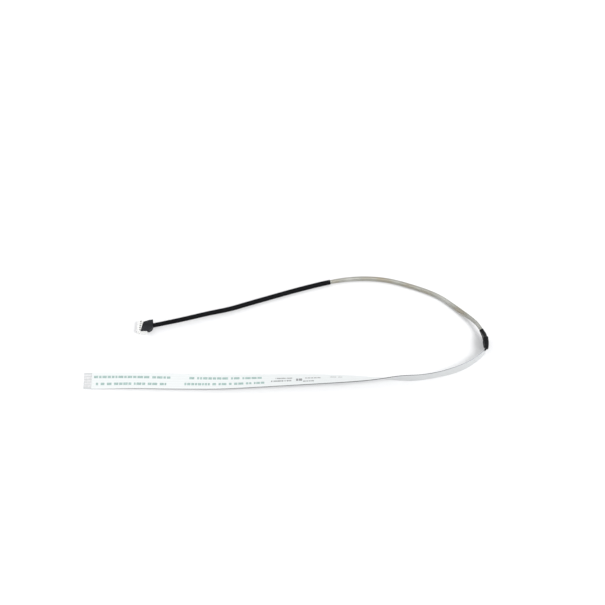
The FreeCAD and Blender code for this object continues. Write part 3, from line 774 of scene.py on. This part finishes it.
def tape_heights(x, across):
    """Lower and upper face of the tape; x is from the mating face, across runs from 0 to 1."""
    behind = ease((x - HOUSING_DEPTH) / TAPE_FALL_RUN)
    edge = min(1.0, abs(2 * across - 2 * TAPE_CREST)) ** TAPE_FALL_POWER
    middle_fall, near_fall, far_fall = TAPE_FALL
    fall = middle_fall + (near_fall if across < TAPE_CREST else far_fall) * edge
    top = HOUSING_HEIGHT + TAPE_WALL - behind * fall
    if x < HOUSING_DEPTH + 0.02:
        return HOUSING_HEIGHT, top
    closing = abs(2 * across - 1.0) ** TAPE_CLOSING_POWER * (top - TAPE_EDGE_WALL - TAPE_FLOOR)
    return TAPE_FLOOR + TAPE_LIFT * behind * (1 - edge) + closing, top


def make_connector_tape(cloth):
    """One piece of cloth tape over the housing's rear, folded round the wires behind it."""
    vertices, uvs = [], []
    for row in range(TAPE_ROWS):
        q = row / (TAPE_ROWS - 1)
        upper, lower = [], []
        for column in range(TAPE_COLUMNS):
            p = column / (TAPE_COLUMNS - 1)
            front = blend_rows(TAPE_FRONT, p)
            rear = blend_rows(TAPE_REAR, p * (len(TAPE_REAR) - 1))
            x, y = (a + (b - a) * q for a, b in zip(front, rear))
            ripple = wander(x * 0.9, y * 0.9, 4.0)
            y -= TAPE_BOW * q * (1 - q) * p * p
            x += TAPE_RAGGED * q * wander(y * 1.3, 2.0, 0)
            low, high = tape_heights(x, p)
            rounding = TAPE_ROUNDING * max(0.0, abs(2 * p - 1) * 8 - 7)
            high += TAPE_RIPPLE * ripple * ease((x - RIPPLE_START) / RIPPLE_RUN) - rounding
            upper.append((x, y, high))
            lower.append((x, y, low))
        for x, y, z in upper + lower[::-1]:
            vertices.append(connector_point(x * MM, y * MM, z * MM))
            uvs.append((x * MM, y * MM))
    faces = ring_faces(TAPE_ROWS, 2 * TAPE_COLUMNS)
    obj = make_object("cloth_over_connector", vertices, faces, uvs=uvs)
    assign(obj, cloth)
    edge = obj.modifiers.new("edges", "EDGE_SPLIT")
    edge.split_angle = math.radians(50)
    dress(obj, "cloth_tape", "connector_tape")


# Flat cable

def strip_frames():
    """Centre, width direction, normal and distance at each step along the flat cable."""
    line, length = spread(route_line([Vector((x, y, 0)) for x, y in STRIP]), STRIP_STEP)
    frames = []
    for index, (place, direction) in enumerate(zip(line, tangents(line))):
        distance = length * index / (len(line) - 1)
        lean = smooth_value(LEAN, distance, LEAN_SMOOTHING)
        angle = lean + smooth_value(ROLL, place.x, ROLL_SMOOTHING) - 90.0
        turn = math.radians(angle)
        inward = direction.cross(UP)
        across = UP * math.sin(turn) - inward * math.cos(turn)
        through = inward * math.sin(turn) + UP * math.cos(turn)
        upright = min(1.0, angle / 90.0)
        edge = upright * EDGE_UPRIGHT + (1 - upright) * EDGE_FLAT
        height = edge + STRIP_HALF * math.sin(turn) + BASE_FILM * math.cos(turn)
        frames.append((place + UP * height, across, through, distance))
    return frames, length


def frame_at(frames, distance):
    """The frame at a distance, between two steps."""
    place = distance / frames[-1][3] * (len(frames) - 1)
    index = max(0, min(int(place), len(frames) - 2))
    share = place - index
    before, after = frames[index], frames[index + 1]
    return [a.lerp(b, share) for a, b in zip(before[:3], after[:3])] + [distance]


def frames_between(frames, begin, end):
    inside = [f for f in frames if begin + 1e-5 < f[3] < end - 1e-5]
    return [frame_at(frames, begin)] + inside + [frame_at(frames, end)]


def bar_profile(low, high, bottom, top):
    return [(low, bottom), (high, bottom), (high, top), (low, top)]


def swept_bar(rows, profile):
    """Vertices and UVs of a closed profile of across and through values along some frames."""
    vertices, uvs = [], []
    for centre, across, through, distance in rows:
        for a, t in profile:
            vertices.append(centre + across * a + through * t)
            uvs.append((a, distance))
    return vertices, uvs


def strip_layer(name, frames, profile, begin, end, materials, slot, node, cut_sides=()):
    """One layer of the flat cable; the cut sides of its profile get the second material."""
    rows = frames_between(frames, begin, end)
    vertices, uvs = swept_bar(rows, profile)
    obj = make_object(name, vertices, ring_faces(len(rows), len(profile)), smooth=False, uvs=uvs)
    assign(obj, *materials)
    for polygon in obj.data.polygons[:-2]:
        if polygon.index % len(profile) in cut_sides:
            polygon.material_index = 1
    return dress(obj, slot, node)


def make_strip(frames, length, printed_film, shaded_plain_film, cut_film, tin):
    half = STRIP_HALF
    base = strip_layer("flat_cable_base", frames, bar_profile(-half, half, -BASE_FILM, 0.0),
                       0.0, length, (shaded_plain_film, cut_film), "film_white", "ffc_base_film", (1, 3))
    high = MIDDLE * CONDUCTOR_PITCH + CONDUCTOR_HALF
    rise = CONDUCTOR
    cover_profile = [(-half, 0.0), (-high, 0.0), (-high, rise), (high, rise), (high, 0.0),
                     (half, 0.0), (half, COVER_TOP), (-half, COVER_TOP)]
    cover = strip_layer("flat_cable_cover", frames, cover_profile, TAIL_LENGTH,
                        length - CONTACT_LENGTH, (printed_film, cut_film), "film_white",
                        "ffc_cover_film", (5, 7))
    layers = [cover]
    for number in range(POSITIONS):
        centre = (number - MIDDLE) * CONDUCTOR_PITCH
        profile = bar_profile(centre - CONDUCTOR_HALF, centre + CONDUCTOR_HALF, 0.0, CONDUCTOR)
        layers.append(strip_layer(f"flat_conductor_{number + 1}", frames, profile, 0.0, length,
                                  (tin,), "conductor_tin", f"ffc_conductor_{number + 1}"))
    return base, layers


def make_print(frames, length, teal, grey):
    """Rows of plain bars of ink on the cover film."""
    rng = random.Random(PRINT_SEED)
    vertices, faces, inks = [], [], []
    end_x = STRIP[-1][0] / MM
    for first_x, last_x, across, shortest, height in PRINT_ROWS:
        x = first_x
        while x < last_x:
            bar = shortest * rng.uniform(1.0, LONGEST_BAR)
            distances = [length - (x + shift - end_x) * MM for shift in (bar, 0.0)]
            rows = frames_between(frames, *distances)
            profile = bar_profile((across - height / 2) * MM, (across + height / 2) * MM,
                                  COVER_TOP, COVER_TOP + INK_THICKNESS)
            bar_faces = ring_faces(len(rows), len(profile), len(vertices))
            faces += bar_faces
            inks += [int(first_x > GREY_PRINT_START)] * len(bar_faces)
            vertices += swept_bar(rows, profile)[0]
            x += bar + shortest * rng.choice(BAR_GAPS)
    obj = make_object("ink_bars", vertices, faces, smooth=False)
    assign(obj, teal, grey)
    for polygon, ink in zip(obj.data.polygons, inks):
        polygon.material_index = ink
    return dress(obj, "film_white")


# Taped joint

def make_solder(joint, number, tin):
    """A smooth bead over the end of a core on its flat conductor."""
    origin, across, through, _ = joint
    along = across.cross(through)
    foot = origin + through * CONDUCTOR + along * (CORE_OVERLAP / 2)
    foot += across * (CONDUCTOR_PITCH * (number - MIDDLE))
    vertices = []
    for ring in range(SOLDER_RINGS):
        climb = math.pi / 2 * ring / (SOLDER_RINGS - 1) * SOLDER_CLOSING
        reach = math.cos(climb) ** SOLDER_FULLNESS
        for k in range(SOLDER_SIDES):
            turn = 2 * math.pi * k / SOLDER_SIDES
            vertices.append(foot + along * (SOLDER_LENGTH / 2 * reach * math.cos(turn))
                            + across * (CONDUCTOR_HALF * reach * math.sin(turn))
                            + through * (SOLDER_HEIGHT * math.sin(climb)))
    faces = ring_faces(SOLDER_RINGS, SOLDER_SIDES)
    obj = make_object(f"solder_bead_{number + 1}", vertices, faces)
    assign(obj, tin)
    dress(obj, "solder", f"solder_joint_{number + 1}")


def make_joint_tape(gloss, cloth):
    """Black tape drawn tight over the wires, with a second, duller layer where the strip starts."""
    sides = JOINT_TAPE_SIDES
    rows = JOINT_TAPE_STEPS * (len(JOINT_TAPE) - 1) + 1
    vertices, uvs = [], []
    run = 0.0
    before = None
    for row in range(rows):
        place = row / JOINT_TAPE_STEPS
        x, y, heading, half_width, half_height, height = blend_rows(JOINT_TAPE, place)
        lean = -TAPE_LEAN * ease((half_height - 1.0) / 2.5)
        turn = math.radians(heading)
        side = UP.cross(Vector((math.cos(turn), math.sin(turn), 0)))
        tall = UP * math.cos(lean) + side * math.sin(lean)
        wide = side * math.cos(lean) - UP * math.sin(lean)
        centre = Vector((x, y, height))
        run += (centre - before).length if before else 0.0
        before = centre
        for k in range(sides):
            angle = 2 * math.pi * (k + 0.5) / sides
            flank = max(0.0, half_height - half_width)
            climb = math.copysign(flank, math.sin(angle)) + (half_height - flank) * math.sin(angle)
            round_x, round_y = CREASES_ROUND * math.cos(angle), CREASES_ROUND * math.sin(angle)
            crease = 1 + TAPE_CREASE * wander(run * CREASES_ALONG, round_x, round_y)
            out = wide * (half_width * crease * math.cos(angle))
            vertices.append((centre + out + tall * climb) * MM)
            uvs.append((k / sides * JOINT_TAPE_GIRTH * MM, run * MM))
    obj = make_object("taped_joint", vertices, ring_faces(rows, sides), uvs=uvs)
    assign(obj, gloss, cloth)
    for polygon in obj.data.polygons[:-2]:
        place = (polygon.index // sides) / JOINT_TAPE_STEPS
        if SECOND_LAYER[0] <= place < SECOND_LAYER[1]:
            polygon.material_index = 1
    dress(obj, "cloth_tape", "joint_tape")


# Stage

def add_sun(name, energy, angle, travel):
    data = bpy.data.lights.new(name, "SUN")
    data.energy = energy
    data.angle = math.radians(angle)
    sun = bpy.data.objects.new(name, data)
    sun.rotation_mode = "QUATERNION"
    sun.rotation_quaternion = travel.to_track_quat("-Z", "Y")
    bpy.context.scene.collection.objects.link(sun)


def make_stage():
    half = FLOOR_HALF
    corners = [(-half, -half, 0), (half, -half, 0), (half, half, 0), (-half, half, 0)]
    floor = make_object("floor", [Vector(c) for c in corners], [(0, 1, 2, 3)], smooth=False)
    assign(floor, make_floor_material())

    world = bpy.data.worlds.new("studio")
    bpy.context.scene.world = world
    world.use_nodes = True
    background = world.node_tree.nodes["Background"]
    background.inputs["Color"].default_value = WORLD_COLOUR
    background.inputs["Strength"].default_value = WORLD_STRENGTH
    add_sun("key", *KEY_LIGHT)
    add_sun("fill", *FILL_LIGHT)


def make_camera():
    data = bpy.data.cameras.new("camera")
    data.lens = CAMERA_LENS
    data.sensor_width = SENSOR_WIDTH
    camera = bpy.data.objects.new("camera", data)
    back = Vector((0, -math.cos(CAMERA_ELEVATION), math.sin(CAMERA_ELEVATION)))
    camera.location = TARGET + back * CAMERA_DISTANCE
    camera.rotation_mode = "QUATERNION"
    camera.rotation_quaternion = (-back).to_track_quat("-Z", "Y")
    bpy.context.scene.collection.objects.link(camera)
    bpy.context.scene.camera = camera
    bpy.context.scene.view_settings.view_transform = "Standard"


def paint_nodes(materials):
    for name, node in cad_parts.items():
        for start, material in materials.items():
            if name.startswith(start):
                assign(node, material)


def main():
    make_camera()
    make_stage()
    make_sleeve(make_sleeve_material())
    make_braid(make_strand_material(), make_braid_gap_shade_material())
    frames, length = strip_frames()
    tin = make_tin("tinned_conductor", (0.75, 0.75, 0.75), 0.5)
    make_wires(frames[0], make_insulation(), tin)
    printed_film = make_film("printed_film", (0.742, 0.768, 0.76), 0.97)
    # The unprinted base film: the same polyester as the printed film, painted about a fifth darker
    # as painted shade for the face that shows where the strip stands on edge.
    shaded_plain_film = make_film("shaded_plain_film", (0.6, 0.615, 0.615), 0.94)
    base, layers = make_strip(frames, length, printed_film, shaded_plain_film, make_cut_film(), tin)
    teal = make_ink("teal_ink", (0.33, 0.45, 0.42))
    grey = make_ink("grey_ink", (0.26, 0.265, 0.265))
    layers.append(make_print(frames, length, teal, grey))
    solder = make_tin("solder_tin", (0.7, 0.7, 0.7), 0.2)
    for number in range(POSITIONS):
        make_solder(frames[0], number, solder)
    grey_cloth = make_cloth("grey_cloth_tape", (0.027, 0.029, 0.033), 0.04)
    dark_cloth = make_cloth("dark_cloth_tape", (0.014, 0.014, 0.016), 0.02)
    make_connector_tape(grey_cloth)
    make_joint_tape(make_gloss_tape(), dark_cloth)
    paint_nodes({
        "connector_housing": make_nylon(),
        # The connector's tin contacts, painted near white and barely metallic: painted light in the
        # housing's windows above them.
        "connector_contact": make_tin("contact_tin", (0.95, 0.94, 0.91), 0.6, 0.1),
        "ffc_stiffener": make_stiffener_film(),
    })


main()
